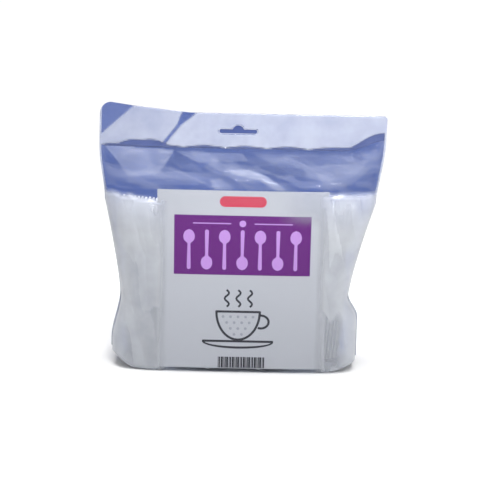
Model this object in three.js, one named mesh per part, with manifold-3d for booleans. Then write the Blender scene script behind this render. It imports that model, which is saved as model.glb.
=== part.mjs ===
// Pack of plastic teaspoons: a film bag with a flat header and hang slot, a card and nested spoons.
// Millimetres, +Z up, front towards -Y. The origin is on the floor, under the middle of the pack.

import * as THREE from "three";
import Module from "manifold-3d";

const wasm = await Module();
wasm.setup();

// Teaspoon
const SPOON_LENGTH = 116;
const BOWL_LENGTH = 39;
const BOWL_WIDTH = 26;
const BOWL_DEPTH = 6;
const HANDLE_WIDTH = 9;
const NECK_WIDTH = 6.5;
const HANDLE_ARCH = 2;
const NEST_PITCH = 2.4;
const EDGE_GROOVE = 0.9;

// Columns of nested spoons: a front and a back row behind the card, and one turned sideways at each end
const FRONT_COUNTS = [8, 8, 7, 8, 8];
const BACK_COUNTS = [8, 8, 7, 8, 8];
const END_COUNT = 11;
const END_LEAN = 1;
const END_SPREAD = { left: 0.08, right: 0.22 };
const END_LIFT = 2.5;
const COLUMN_ROOM = 0.2;
const ROW_ROOM = 0.8;
const CONTENTS_SHIFT = -3.5;

// Printed card
const CARD_WIDTH = 117;
const CARD_HEIGHT = 125.5;
const CARD_THICKNESS = 0.4;
const CARD_SHIFT = 1.5;
const CARD_SIDE_ROOM = 13;

// Film bag
const FILM = 0.4;
const SIDE_WELD = 1.5;
const HEADER_WIDTH = 200;
const HEADER_HEIGHT = 24.5;
const SHOULDER_HEIGHT = 24.3;
const FOOT_RADIUS = 3;
const LEFT_ROOM = { foot: 12.1, footTop: 9, waist: 5.8, top: 12.7 };
const RIGHT_ROOM = { foot: 8.1, footTop: 34, waist: 1.1, top: 13.8 };
const CORNER_LIFT = { left: 8, right: 3.5 };
const CORNER_RUN = { left: 22, right: 20 };
const BOX_POWER = 4.5;
const LENS_POWER = 2.2;

// Header: raised and bent left end with two creases, rounded corners, weld line that rises at the right end
const LEFT_RISE = 5;
const LEFT_CORNER = 8;
const RIGHT_CORNER = 2.5;
const BEND_SLOPE = 0.14;
const BEND_TOP = 36.5;
const BEND_FOOT = 56;
const CORNER_SLOPE = 0.4;
const CORNER_TOP = 26;
const CORNER_SIDE = 18;
const WELD_RISE = 8;
const WELD_RISE_RUN = 28;

// Hang slot: a long slot with a round crown for the peg
const SLOT_WIDTH = 27;
const SLOT_ARM = 3.4;
const CROWN_RADIUS = 4.5;
const SLOT_DROP = 12.5;
const SLOT_SHIFT = -3;

// Free space between neighbouring pieces
const GAP = 0.3;
const SPOON_ROOM = 0.8;

// Levels and widths that follow from the sizes above
const SPOON_FLOOR = FILM + GAP + SPOON_ROOM;
const CARD_FLOOR = FOOT_RADIUS + FILM / 2;
const WALL_TOP = Math.max(SPOON_FLOOR + END_LIFT + SPOON_LENGTH, CARD_FLOOR + CARD_HEIGHT) + GAP + FILM;
const WELD_LINE = WALL_TOP + SHOULDER_HEIGHT;
const TOP_EDGE = WELD_LINE + HEADER_HEIGHT;
const SEAM = (FILM + GAP) / 2;
const COLUMN_PITCH = (BOWL_WIDTH + HANDLE_WIDTH) / 2 + COLUMN_ROOM;
const END_INNER = ((FRONT_COUNTS.length - 1) / 2) * COLUMN_PITCH + BOWL_WIDTH / 2 + ROW_ROOM;
const CARD_HALF = CARD_WIDTH / 2 + CARD_SHIFT + CARD_SIDE_ROOM;
const HANDLES_HALF = Math.max(END_INNER + END_COUNT * NEST_PITCH + HANDLE_ARCH, CARD_HALF);
const CONTENTS_HALF = Math.max(END_INNER + END_COUNT * NEST_PITCH + BOWL_DEPTH, CARD_HALF);
const FLAT_HALF = Math.max(HEADER_WIDTH / 2, CONTENTS_HALF + Math.max(LEFT_ROOM.top, RIGHT_ROOM.top) + 2);
const HANDLE_LENGTH = SPOON_LENGTH - BOWL_LENGTH;
const WAIST_LEVEL = SPOON_FLOOR + SPOON_LENGTH * 0.43;
const SPOON_TOPS = SPOON_FLOOR + SPOON_LENGTH;

const clamp01 = (t) => Math.min(1, Math.max(0, t));
const smooth = (t) => clamp01(t) ** 2 * (3 - 2 * clamp01(t));
const mix = (a, b, t) => a + (b - a) * t;

// Side edges of the bag in front view: narrow at the waist, widest at the header
function sideEdge(room, shift, z) {
  const stations = [
    [0, HANDLES_HALF + room.foot + shift],
    [room.footTop, HANDLES_HALF + room.foot + shift],
    [WAIST_LEVEL, HANDLES_HALF + room.waist + shift],
    [SPOON_TOPS, CONTENTS_HALF + room.top + shift],
    [WELD_LINE, FLAT_HALF - GAP],
    [TOP_EDGE + LEFT_RISE, FLAT_HALF],
  ];
  let next = stations.findIndex(([level]) => level > z);
  if (next < 1) {
    next = next < 0 ? stations.length - 1 : 1;
  }
  const [z0, w0] = stations[next - 1];
  const [z1, w1] = stations[next];
  const share = clamp01((z - z0) / (z1 - z0));
  return mix(w0, w1, z0 === WAIST_LEVEL ? share ** 1.25 : smooth(share));
}
const leftEdge = (z) => -sideEdge(LEFT_ROOM, -CONTENTS_SHIFT / 3, z);
const rightEdge = (z) => sideEdge(RIGHT_ROOM, CONTENTS_SHIFT / 3, z);

// Distance in front view from a line between two points, positive on its left side going down
function sideOf(line, x, z) {
  const [[x0, z0], [x1, z1]] = line;
  const length = Math.hypot(x1 - x0, z1 - z0);
  return ((x - x0) * (z1 - z0) - (z - z0) * (x1 - x0)) / length;
}
const HEADER_CREASE = [
  [-BEND_TOP, TOP_EDGE],
  [-BEND_FOOT, WELD_LINE],
];
const CORNER_CREASE = [
  [CORNER_TOP - FLAT_HALF, TOP_EDGE + LEFT_RISE],
  [-FLAT_HALF, TOP_EDGE - CORNER_SIDE],
];

// Bend of the header: its left third leans back from one crease, and its corner from a second
function headerBend(x, z) {
  const third = Math.max(0, sideOf(HEADER_CREASE, x, z));
  const corner = Math.max(0, sideOf(CORNER_CREASE, x, z));
  return BEND_SLOPE * third + CORNER_SLOPE * corner;
}

function topEdge(x) {
  const rise = LEFT_RISE * clamp01((-BEND_TOP - x) / (FLAT_HALF - BEND_TOP - LEFT_CORNER));
  const radius = x < 0 ? LEFT_CORNER : RIGHT_CORNER;
  const past = clamp01((Math.abs(x) - FLAT_HALF + radius) / radius);
  return TOP_EDGE + rise - radius * (1 - Math.sqrt(1 - past * past));
}
const weldLine = (x) => WELD_LINE + WELD_RISE * smooth((x - FLAT_HALF) / WELD_RISE_RUN + 1);

// Share of the full depth at a place across the bag, from -1 at the left side to +1 at the right
function bulgeShare(across, power) {
  return (1 - Math.min(1, Math.abs(across)) ** power) ** (1 / power);
}
function acrossAt(x, z) {
  const left = leftEdge(z) + SIDE_WELD;
  const right = rightEdge(z) - SIDE_WELD;
  return (2 * (x - left)) / (right - left) - 1;
}

// Every column: how many spoons, its place, which way it is turned, its lean, and which way its bowls are
// The end columns stand a little higher, on the lifted corners of the film, with their backs to the sides
const BEHIND_CARD = (CARD_THICKNESS + GAP) / 2;
const columnDepth = (count) => count * NEST_PITCH + BOWL_DEPTH;
function columnRow(counts, row) {
  const middle = (counts.length - 1) / 2;
  return counts.map((count, i) => {
    const x = CONTENTS_SHIFT + (i - middle) * COLUMN_PITCH;
    const y = BEHIND_CARD + (row * (columnDepth(count) + ROW_ROOM)) / 2;
    const bowlsUp = (i % 2 === 0) === row < 0;
    return { count, x, y, floor: SPOON_FLOOR, lean: 0, spread: 0, turn: bowlsUp ? Math.PI : 0, bowlsUp };
  });
}
function endColumn(side) {
  const x = CONTENTS_SHIFT + side * (END_INNER + columnDepth(END_COUNT) / 2);
  const stand = { floor: SPOON_FLOOR + END_LIFT, lean: side * END_LEAN, turn: (-side * Math.PI) / 2 };
  const spread = side < 0 ? END_SPREAD.left : END_SPREAD.right;
  return { count: END_COUNT, x, y: 0, ...stand, spread, bowlsUp: true };
}
const COLUMNS = [endColumn(-1), ...columnRow(FRONT_COUNTS, -1), endColumn(1), ...columnRow(BACK_COUNTS, 1)];

// Half depth of the bag: deep enough for every column at its bowls, with the card in front of them
function halfDepth() {
  const room = SPOON_ROOM + CARD_THICKNESS + 2 * GAP + FILM / 2 - SEAM;
  return Math.max(
    ...COLUMNS.map(({ count, x, y, floor, lean, spread, bowlsUp }) => {
      const end = lean !== 0;
      const bowls = bowlsUp ? HANDLE_LENGTH + BOWL_LENGTH / 2 : BOWL_LENGTH / 2;
      const middle = x + bowls * Math.tan(THREE.MathUtils.degToRad(lean));
      const fan = (spread * columnDepth(count) * bowls) / SPOON_LENGTH;
      const halfWidth = (end ? columnDepth(count) : BOWL_WIDTH) / 2 + fan;
      const outside = Math.abs(middle) < halfWidth ? 0 : middle + Math.sign(middle) * halfWidth;
      const share = bulgeShare(acrossAt(outside, floor + bowls), BOX_POWER);
      const reach = end ? BOWL_WIDTH / 2 : Math.abs(y - BEHIND_CARD) + columnDepth(count) / 2;
      return (reach + room) / share;
    }),
  );
}
const HALF_DEPTH = halfDepth();

// Folds of the slack film: ends as [x, share of the shoulder from the weld down], height, width
const FRONT_FOLDS = [
  { from: [-49, 0.2], to: [-85, 0.85], height: 5, width: 12 },
  { from: [-66, 0.1], to: [-60, 0.5], height: -3.2, width: 10 },
  { from: [-24, 0.15], to: [-20, 0.9], height: -3.6, width: 11 },
  { from: [-5, 0.3], to: [28, 1], height: 4.2, width: 12 },
  { from: [48, 0.25], to: [64, 0.9], height: 4.6, width: 11 },
  { from: [84, 0.45], to: [64, 0.9], height: 3.6, width: 10 },
];
const BACK_FOLDS = [
  { from: [-80, 0.15], to: [-58, 0.9], height: 4.4, width: 11 },
  { from: [-30, 0.2], to: [-46, 0.9], height: -3.6, width: 11 },
  { from: [2, 0.2], to: [-12, 0.95], height: 4.4, width: 11 },
  { from: [40, 0.1], to: [26, 0.8], height: -3.4, width: 11 },
  { from: [82, 0.3], to: [56, 0.95], height: 4.4, width: 11 },
];
function foldHeight(folds, x, share) {
  let sum = 0;
  for (const { from, to, height, width } of folds) {
    const start = new THREE.Vector2(from[0], from[1] * SHOULDER_HEIGHT);
    const run = new THREE.Vector2(to[0], to[1] * SHOULDER_HEIGHT).sub(start);
    const point = new THREE.Vector2(x, share * SHOULDER_HEIGHT).sub(start);
    const along = clamp01(point.dot(run) / run.lengthSq());
    sum += height * Math.max(0, 1 - point.addScaledVector(run, -along).length() / width);
  }
  return sum;
}

// Rows of a film sheet from the top edge over shoulder, wall and foot to the seam under the base
const HEADER_ROWS = 3;
const SHOULDER_ROWS = 6;
const WALL_ROWS = 6;
const FOOT_ROWS = 2;
const BASE_ROWS = 2;
const FILM_COLUMNS = 23;

function filmRows() {
  const rows = [];
  for (let i = 0; i < HEADER_ROWS; i++) {
    rows.push({ part: "header", share: i / HEADER_ROWS });
  }
  for (let i = 0; i <= SHOULDER_ROWS; i++) {
    rows.push({ part: "shoulder", share: i / SHOULDER_ROWS });
  }
  for (let i = 1; i <= WALL_ROWS; i++) {
    rows.push({ part: "wall", share: i / WALL_ROWS });
  }
  for (let i = 1; i <= FOOT_ROWS; i++) {
    rows.push({ part: "foot", share: i / FOOT_ROWS });
  }
  for (let i = 1; i <= BASE_ROWS; i++) {
    rows.push({ part: "base", share: i / BASE_ROWS });
  }
  return rows;
}

// Height, depth and progress round the bottom corner of a row, before the side ends are lifted
function rowProfile({ part, share }, x) {
  if (part === "header") {
    return { z: mix(topEdge(x), weldLine(x), share), depth: 0, corner: 0 };
  }
  if (part === "shoulder") {
    const depth = HALF_DEPTH * Math.sin((share * Math.PI) / 2) ** 0.85;
    return { z: mix(weldLine(x), WALL_TOP, share), depth, corner: 0 };
  }
  if (part === "wall") {
    return { z: mix(WALL_TOP, FOOT_RADIUS + FILM / 2, share), depth: HALF_DEPTH, corner: 0 };
  }
  if (part === "foot") {
    const turn = (share * Math.PI) / 2;
    const z = FILM / 2 + FOOT_RADIUS * (1 - Math.sin(turn));
    return { z, depth: HALF_DEPTH - FOOT_RADIUS * (1 - Math.cos(turn)), corner: 0.45 * share };
  }
  return { z: FILM / 2, depth: (HALF_DEPTH - FOOT_RADIUS) * (1 - share), corner: mix(0.45, 1, share) };
}

// Point on the middle surface of a film sheet; facing is -1 for the front and +1 for the back
function filmPoint(facing, folds, row, across, weld) {
  const { z: level, corner } = rowProfile(row, 0);
  const left = leftEdge(level) + CORNER_RUN.left * corner;
  const right = rightEdge(level) - CORNER_RUN.right * corner;
  const x = mix(left + SIDE_WELD, right - SIDE_WELD, (across + 1) / 2) + weld * SIDE_WELD;
  const { z, depth } = rowProfile(row, x);
  const power = mix(BOX_POWER, LENS_POWER, smooth((z - SPOON_TOPS) / (WELD_LINE - SPOON_TOPS)));
  const bulge = bulgeShare(across, power);
  const lift = x < 0 ? CORNER_LIFT.left : CORNER_LIFT.right;
  const end = smooth((Math.abs(across) - 0.84) / 0.16) * clamp01(1 - z / WAIST_LEVEL);
  let y = facing * (SEAM + depth * bulge);
  if (row.part === "header") {
    y += headerBend(x, z);
  } else if (row.part === "shoulder") {
    y += headerBend(x, weldLine(x)) * (1 - row.share);
    const slack = Math.sin(row.share * Math.PI) * (1 - row.share ** 3);
    y += facing * foldHeight(folds, x, row.share) * slack * bulge;
  }
  return new THREE.Vector3(x, y, z + lift * (1 - corner) ** 2 * end);
}

// Thin sheet from a grid of points on its middle surface, thickened both ways along the normals
// Mirrored sheets split their cells along the other diagonal, so that two welded sheets stay parallel
function sheetGeometry(grid, thickness, mirrored) {
  const rows = grid.length;
  const columns = grid[0].length;
  const pick = (r, c) => grid[Math.min(rows - 1, Math.max(0, r))][Math.min(columns - 1, Math.max(0, c))];
  const points = [];
  for (const face of [0.5, -0.5]) {
    for (let r = 0; r < rows; r++) {
      for (let c = 0; c < columns; c++) {
        const down = pick(r + 1, c).clone().sub(pick(r - 1, c)).normalize();
        const along = pick(r, c + 1).clone().sub(pick(r, c - 1)).normalize();
        const normal = down.cross(along).normalize();
        points.push(pick(r, c).clone().addScaledVector(normal, face * thickness));
      }
    }
  }
  const outer = (r, c) => r * columns + c;
  const inner = (r, c) => (rows + r) * columns + c;
  const triangles = [];
  for (let r = 0; r < rows - 1; r++) {
    for (let c = 0; c < columns - 1; c++) {
      const cell = [[r, c], [r + 1, c], [r + 1, c + 1], [r, c + 1]];
      const halves = mirrored ? [1, 2, 3, 1, 3, 0] : [0, 1, 2, 0, 2, 3];
      triangles.push(...halves.map((k) => outer(...cell[k])));
      triangles.push(...halves.reverse().map((k) => inner(...cell[k])));
    }
  }
  const rim = [];
  for (let r = 0; r < rows - 1; r++) {
    rim.push([r, 0]);
  }
  for (let c = 0; c < columns - 1; c++) {
    rim.push([rows - 1, c]);
  }
  for (let r = rows - 1; r > 0; r--) {
    rim.push([r, columns - 1]);
  }
  for (let c = columns - 1; c > 0; c--) {
    rim.push([0, c]);
  }
  rim.forEach((p, i) => {
    const q = rim[(i + 1) % rim.length];
    triangles.push(outer(...q), outer(...p), inner(...p), outer(...q), inner(...p), inner(...q));
  });
  return { points: points.flatMap((p) => p.toArray()), triangles };
}

function toGeometry({ points, triangles }) {
  const geometry = new THREE.BufferGeometry();
  geometry.setAttribute("position", new THREE.Float32BufferAttribute(points, 3));
  geometry.setIndex(triangles);
  return geometry;
}

function toSolid({ points, triangles }) {
  const vertProperties = new Float32Array(points);
  const triVerts = new Uint32Array(triangles);
  return new wasm.Manifold(new wasm.Mesh({ numProp: 3, vertProperties, triVerts }));
}

function fromSolid(solid) {
  const { vertProperties, triVerts } = solid.getMesh();
  return toGeometry({ points: Array.from(vertProperties), triangles: Array.from(triVerts) });
}

// Hang slot as a solid through the header: two round-ended arms with a round crown over their middle
function slotTool() {
  const reach = SLOT_WIDTH / 2 - SLOT_ARM / 2;
  const crown = Math.asin(SLOT_ARM / 2 / CROWN_RADIUS);
  const outline = new THREE.Shape();
  outline.absarc(-reach, 0, SLOT_ARM / 2, Math.PI / 2, (3 * Math.PI) / 2, false);
  outline.absarc(reach, 0, SLOT_ARM / 2, -Math.PI / 2, Math.PI / 2, false);
  outline.absarc(0, 0, CROWN_RADIUS, crown, Math.PI - crown, false);
  outline.closePath();
  const through = 4 * HEADER_HEIGHT;
  const tool = new THREE.ExtrudeGeometry(outline, { depth: through, bevelEnabled: false, curveSegments: 8 });
  tool.rotateX(Math.PI / 2);
  tool.translate(SLOT_SHIFT, through / 2, TOP_EDGE - SLOT_DROP);
  return toSolid(welded(tool));
}

// Points and triangles of a geometry with equal corners shared
function welded(geometry) {
  const source = geometry.getAttribute("position");
  const seen = new Map();
  const points = [];
  const triangles = [];
  const count = geometry.index ? geometry.index.count : source.count;
  for (let i = 0; i < count; i++) {
    const from = geometry.index ? geometry.index.getX(i) : i;
    const corner = [source.getX(from), source.getY(from), source.getZ(from)];
    const key = corner.map((value) => Math.round(value * 1e4)).join(" ");
    if (!seen.has(key)) {
      seen.set(key, points.length / 3);
      points.push(...corner);
    }
    triangles.push(seen.get(key));
  }
  return { points, triangles };
}

function filmSheet(facing, folds) {
  const grid = filmRows().map((row) => {
    const line = [filmPoint(facing, folds, row, -1, -1)];
    for (let i = 0; i <= FILM_COLUMNS; i++) {
      line.push(filmPoint(facing, folds, row, Math.sin((i / FILM_COLUMNS - 0.5) * Math.PI), 0));
    }
    line.push(filmPoint(facing, folds, row, 1, 1));
    return facing < 0 ? line : line.reverse();
  });
  return fromSolid(toSolid(sheetGeometry(grid, FILM, facing > 0)).subtract(slotTool()));
}

// Card that stands just inside the front film and takes its gentle curve
const CARD_ROWS = 3;
const CARD_COLUMNS = 12;
function cardGeometry() {
  const inset = FILM / 2 + GAP + CARD_THICKNESS / 2;
  const grid = [];
  for (let r = 0; r <= CARD_ROWS; r++) {
    const z = CARD_FLOOR + CARD_HEIGHT * (1 - r / CARD_ROWS);
    const line = [];
    for (let c = 0; c <= CARD_COLUMNS; c++) {
      const x = CARD_SHIFT + CARD_WIDTH * (c / CARD_COLUMNS - 0.5);
      line.push(new THREE.Vector3(x, cardFace(x) + inset, z));
    }
    grid.push(line);
  }
  return toGeometry(sheetGeometry(grid, CARD_THICKNESS, false));
}

// Front film in plan where the bag is narrowest
function cardFace(x) {
  return -(SEAM + HALF_DEPTH * bulgeShare(acrossAt(x, WAIST_LEVEL), BOX_POWER));
}

// Teaspoon in front view: half width and arch along its length, from the handle's end to the bowl's tip
const BOWL_SHARES = [0.2, 0.5, 0.82, 1];
const bowlStations = BOWL_SHARES.map((q) => HANDLE_LENGTH + q * BOWL_LENGTH);
const spoonStations = [0, HANDLE_WIDTH * 0.4, HANDLE_LENGTH, ...bowlStations];

function spoonHalfWidth(s) {
  if (s <= 0) {
    return HANDLE_WIDTH * 0.36;
  }
  const handle = mix(HANDLE_WIDTH, NECK_WIDTH, clamp01(s / HANDLE_LENGTH)) / 2;
  const q = clamp01((s - HANDLE_LENGTH) / BOWL_LENGTH);
  const bowl = (BOWL_WIDTH / 2) * Math.sqrt(Math.max(0, 1 - (2 * q ** 0.92 - 1) ** 2));
  return q >= 1 ? BOWL_WIDTH * 0.1 : Math.max(bowl, q > 0 ? NECK_WIDTH / 2 : handle);
}
const spoonArch = (s) => HANDLE_ARCH * Math.sin(Math.PI * clamp01(s / HANDLE_LENGTH));
function bowlDish(s) {
  const q = clamp01((s - HANDLE_LENGTH) / BOWL_LENGTH);
  return BOWL_DEPTH * Math.sin(Math.PI * q) ** 0.8;
}

// Triangles between two rows of corners that share their ends' order, one row above the other
function zipRows(lower, upper, triangles, flip) {
  let i = 0;
  let j = 0;
  while (i < lower.length - 1 || j < upper.length - 1) {
    const lowerNext = (i + 1) / (lower.length - 1);
    const upperNext = (j + 1) / (upper.length - 1);
    const stepLower = lowerNext <= 1 && (upperNext > 1 || lowerNext <= upperNext);
    const corner = [lower[i], stepLower ? lower[i + 1] : upper[j + 1], upper[j]];
    triangles.push(...(flip ? corner.reverse() : corner));
    i += stepLower ? 1 : 0;
    j += stepLower ? 0 : 1;
  }
}

// Nested column of spoons, hollow side to the front: one ridge round its side for each spoon
// The spread is the share by which the spoons fan apart from their feet to their bowls
function nestedColumn(count, spread) {
  const points = [];
  const triangles = [];
  const fan = (s) => 1 + (spread * s) / SPOON_LENGTH;
  const add = (x, y, s) => points.push(x, y * fan(s), s) / 3 - 1;
  const last = spoonStations.length - 1;
  const ring = (y, inset) => {
    const edge = (s, j, side) => {
      const end = j === 0 ? inset : j === last ? -inset : 0;
      return add(side * (spoonHalfWidth(s) - inset), y + spoonArch(s), s + end);
    };
    const right = spoonStations.map((s, j) => edge(s, j, 1));
    const left = spoonStations.map((s, j) => edge(s, j, -1));
    return { right, left, loop: [...right, ...left.slice().reverse()] };
  };
  const rings = [ring(0, EDGE_GROOVE)];
  for (let i = 0; i < count; i++) {
    rings.push(ring((i + 0.5) * NEST_PITCH, 0));
    rings.push(ring((i + 1) * NEST_PITCH, EDGE_GROOVE));
  }
  for (let i = 0; i + 1 < rings.length; i++) {
    const near = rings[i].loop;
    const far = rings[i + 1].loop;
    for (let k = 0; k < near.length; k++) {
      const next = (k + 1) % near.length;
      triangles.push(near[next], near[k], far[k], near[next], far[k], far[next]);
    }
  }
  const ends = [
    { face: rings[0], y: 0 },
    { face: rings[rings.length - 1], y: count * NEST_PITCH },
  ];
  for (const { face, y } of ends) {
    const rows = spoonStations.map((s, j) => {
      if (j === 0 || j === last) {
        return [face.left[j], face.right[j]];
      }
      const half = spoonHalfWidth(s) - EDGE_GROOVE;
      const depth = (t) => y + spoonArch(s) + bowlDish(s) * (1 - t * t);
      const inner = [-0.5, 0, 0.5].map((t) => add(t * half, depth(t), s));
      return [face.left[j], ...inner, face.right[j]];
    });
    for (let j = 0; j < last; j++) {
      zipRows(rows[j], rows[j + 1], triangles, y > 0);
    }
  }
  return toGeometry({ points, triangles });
}

// Places a column: bowls up and turned about its length, or bowls down with their hollows to the front
function spoonColumn({ count, x, y, floor, lean, spread, turn, bowlsUp }) {
  const geometry = nestedColumn(count, spread);
  geometry.translate(0, -columnDepth(count) / 2, -SPOON_LENGTH / 2);
  if (bowlsUp) {
    geometry.rotateZ(turn);
  } else {
    geometry.rotateY(Math.PI);
  }
  geometry.translate(0, y, SPOON_LENGTH / 2);
  geometry.rotateY(THREE.MathUtils.degToRad(lean));
  geometry.computeBoundingBox();
  geometry.translate(x, 0, floor - geometry.boundingBox.min.z);
  return geometry;
}

// Colours and finishes
const CLEAR_FILM = { color: 0xdfe6f5, roughness: 0.15, metalness: 0, transparent: true, opacity: 0.3 };
const BLUE_FILM = { color: 0x6f83c0, roughness: 0.2, metalness: 0, transparent: true, opacity: 0.75 };
const WHITE_CARD = { color: 0xe6e7ea, roughness: 0.7, metalness: 0 };
const WHITE_PLASTIC = { color: 0xf1f1ee, roughness: 0.3, metalness: 0 };

const pack = new THREE.Group();
pack.name = "cutlery_pack";
function addPiece(name, geometry, finish) {
  const mesh = new THREE.Mesh(geometry, new THREE.MeshStandardMaterial(finish));
  mesh.name = name;
  pack.add(mesh);
}

addPiece("front_film", filmSheet(-1, FRONT_FOLDS), CLEAR_FILM);
addPiece("back_film", filmSheet(1, BACK_FOLDS), BLUE_FILM);
addPiece("label_card", cardGeometry(), WHITE_CARD);
COLUMNS.forEach((column, index) => {
  addPiece(`teaspoon_stack_${index + 1}`, spoonColumn(column), WHITE_PLASTIC);
});

export default pack;
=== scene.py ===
"""Pack of plastic teaspoons on a pale floor: film bag, printed card and nested spoons."""

import math
import random

import bpy
from mathutils import Matrix, Vector, noise
from mathutils.geometry import tessellate_polygon


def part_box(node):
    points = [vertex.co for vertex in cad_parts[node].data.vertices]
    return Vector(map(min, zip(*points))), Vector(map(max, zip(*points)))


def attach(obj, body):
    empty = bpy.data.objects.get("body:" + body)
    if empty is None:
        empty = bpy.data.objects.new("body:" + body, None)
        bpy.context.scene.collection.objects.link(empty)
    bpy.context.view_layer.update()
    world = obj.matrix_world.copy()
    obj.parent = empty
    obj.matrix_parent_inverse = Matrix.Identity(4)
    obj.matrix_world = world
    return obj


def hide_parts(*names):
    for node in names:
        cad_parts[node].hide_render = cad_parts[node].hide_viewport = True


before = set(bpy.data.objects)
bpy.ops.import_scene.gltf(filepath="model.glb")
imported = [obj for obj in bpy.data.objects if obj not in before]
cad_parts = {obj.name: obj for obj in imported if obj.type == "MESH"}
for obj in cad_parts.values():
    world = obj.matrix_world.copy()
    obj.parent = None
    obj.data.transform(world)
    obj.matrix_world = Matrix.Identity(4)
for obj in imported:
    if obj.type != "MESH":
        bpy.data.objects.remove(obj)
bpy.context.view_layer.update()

MM = 0.001

# Teaspoon, in millimetres
SPOON_LENGTH = 116.0
BOWL_LENGTH = 39.0
BOWL_WIDTH = 26.0
BOWL_DEPTH = 6.0
BOWL_EGG, DISH_POWER = 0.92, 0.8
HANDLE_WIDTH = 9.0
HANDLE_ARCH = 2.0
HANDLE_BLUNTNESS = 0.05
HANDLE_CHANNEL, CHANNEL_FADE = 1.2, 0.25
NECK_WIDTH = 6.5
NECK_FADE, NECK_FADE_RUN, NECK_BLEND = 0.1, 0.4, 3
TIP_HALF = 0.6
SPOON_WALL = 1.1
EDGE_THINNING, EDGE_POWER = 0.45, 6
NEST_PITCH = 2.4
HANDLE_LENGTH = SPOON_LENGTH - BOWL_LENGTH
SPOON_ROWS, SPOON_COLUMNS = 54, 10

# Columns of nested spoons: two rows behind the card, and one turned sideways at each end
FRONT_COUNTS = [8, 8, 7, 8, 8]
BACK_COUNTS = [8, 8, 7, 8, 8]
END_COUNT = 11
END_LEAN, END_LIFT = 1.0, 2.5
END_SPREAD = {-1: 0.08, 0: 0.0, 1: 0.22}
FAN_POWER = 1.5
END_LOOSE, ROW_LOOSE, LENGTH_LOOSE = 0.4, 0.06, 0.3
SPOON_SEED = 40
ROW_ROOM = 0.8
COLUMN_ROOM = 0.2
COLUMN_PITCH = (BOWL_WIDTH + HANDLE_WIDTH) / 2 + COLUMN_ROOM
CONTENTS_SHIFT = -3.5
END_INNER = (len(FRONT_COUNTS) - 1) / 2 * COLUMN_PITCH + BOWL_WIDTH / 2 + ROW_ROOM
HANDLES_HALF = END_INNER + END_COUNT * NEST_PITCH + HANDLE_ARCH
CONTENTS_HALF = END_INNER + END_COUNT * NEST_PITCH + BOWL_DEPTH

# Card
CARD_WIDTH = 117.0
CARD_HEIGHT = 125.5
CARD_THICKNESS = 0.4
CARD_SHIFT = 1.5
CARD_ROWS, CARD_COLUMNS = 24, 60

# Film bag
CAD_FILM = 0.4
FILM = 0.14
GAP = 0.3
SPOON_ROOM = 0.8
SIDE_WELD = 1.5
HEADER_HEIGHT = 24.5
SHOULDER_HEIGHT = 24.3
SHOULDER_EASE = 0.85
FOOT_RADIUS = 3.0
FOOT_TURN = 0.45
LEFT_ROOM = {"foot": 12.1, "foot_top": 9.0, "waist": 5.8, "top": 12.7}
RIGHT_ROOM = {"foot": 8.1, "foot_top": 34.0, "waist": 1.1, "top": 13.8}
WAIST_SHARE, WAIST_EASE = 0.43, 1.25
EDGE_SHIFT = CONTENTS_SHIFT / 3
LEFT_LIFT, RIGHT_LIFT, LIFT_FROM = 8.0, 3.5, 0.84
LEFT_RUN, RIGHT_RUN = 22.0, 20.0
BOX_POWER, LENS_POWER = 4.5, 2.2
BACK_DRAW, BACK_DRAW_RUN = 0.012, 12.0
LEFT_RISE = 5.0
LEFT_CORNER, RIGHT_CORNER = 8.0, 2.5
BEND_SLOPE, BEND_TOP, BEND_FOOT = 0.14, 36.5, 56.0
CORNER_SLOPE, CORNER_TOP, CORNER_SIDE = 0.4, 26.0, 18.0
WELD_RISE, WELD_RISE_RUN = 8.0, 28.0
FILM_ROWS = [("header", 26), ("shoulder", 46), ("wall", 84), ("foot", 8), ("base", 10)]
FILM_COLUMNS = {-1: 240, 1: 150}
WELD_STEPS = 3
EDGE_CROWDING = 0.6

# Crumples of the film: width and height of the facets, and how far they stand out
FILM_SEED = {-1: 3.1, 1: 11.7}
SMALL_SEED = 5
FACET_WARP = 0.45
LARGE_FACETS, LARGE_RELIEF = (24, 11), 4.0
SMALL_FACETS, SMALL_RELIEF = (11, 5), 1.2
RIB_FACETS, CARD_RIB, SIDE_RIB = (8, 26), 0.12, 1.1
RIB_START, RIB_END = 0.06, 0.05
# Painted shading of crumples on the film against the spoons: facets that tone the milky share by their
# slope, with random clouds
CRUMPLE_FACETS = (9, 40)
CRUMPLE_CLOUD, CLOUD_WIDTH, CLOUD_HEIGHT = 0.6, 20.0, 26.0
HEADER_RIPPLE, RIPPLE_WIDTH, RIPPLE_HEIGHT = 0.12, 16.0, 9.0

# Edge of the film over the spoons beside the card: it slopes at the left and is level at the right
OUTER_TOPS, INNER_TOPS, RIGHT_TOPS = 124.2, 120.4, 126.0
SLOPE_START, SLOPE_RUN = -88.0, 30.0
TOPS_WAVE, TOPS_WAVE_RUN, TOPS_SEED = 1.8, 6.0, 4.0
LEDGE, LEDGE_STEP, LEDGE_RUN = 2.2, 2.6, 30.0
BESIDE_INSET, BESIDE_RUN = 8.0, 20.0

# Wavy lower edge of the pale header: scallops, a lens at the left and a wedge at the right; under it the
# back film is dark with painted shadow
SCALLOP, SCALLOP_LOW, SCALLOP_RUN, SCALLOP_START = 1.5, 0.6, 29.0, -12.0
LENS, LENS_X, LENS_HALF = 4.2, -69.0, 17.0
WEDGE, WEDGE_X, WEDGE_RUN = 3.6, 58.0, 34.0
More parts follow.
